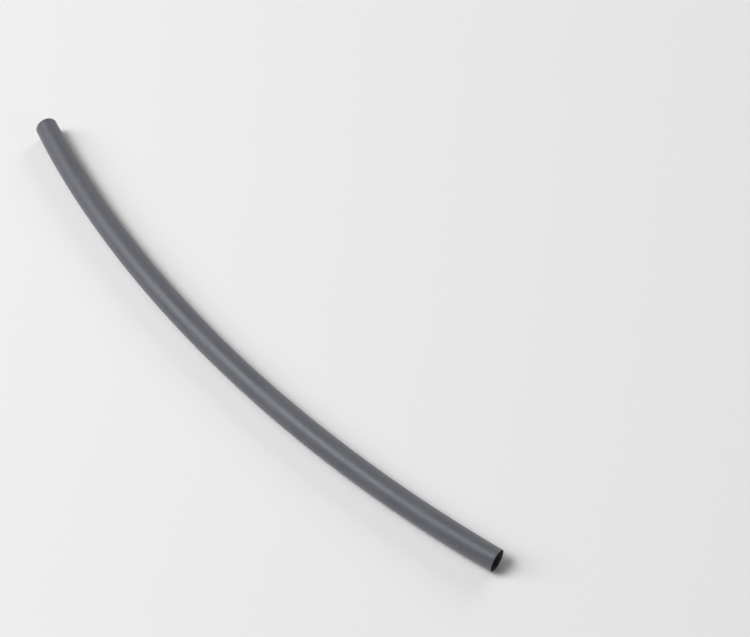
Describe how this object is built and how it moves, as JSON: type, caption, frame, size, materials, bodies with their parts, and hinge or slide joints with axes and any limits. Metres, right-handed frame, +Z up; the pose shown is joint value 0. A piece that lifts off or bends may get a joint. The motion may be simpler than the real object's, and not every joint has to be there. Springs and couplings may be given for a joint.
{
  "type": "heat shrink tube",
  "caption": "Cut length of unshrunk heat shrink tube: a thin-walled, open-ended grey plastic tube with a gentle curve, lying on its side.",
  "frame": {"origin": "on the surface that the tube lies on, at the middle of its outline seen from above", "axes": "+X from the far cut towards the near cut along the chord of the curve, +Y towards the inside of the curve, +Z up from the surface"},
  "size_m": [0.299, 0.031, 0.0114],
  "materials": {
    "grey_polyolefin": "matte slate grey polyolefin with a soft sheen and faint lengthwise drawing lines"
  },
  "bodies": {
    "root": {"heat_shrink_tube": "grey_polyolefin"}
  },
  "joints": []
}
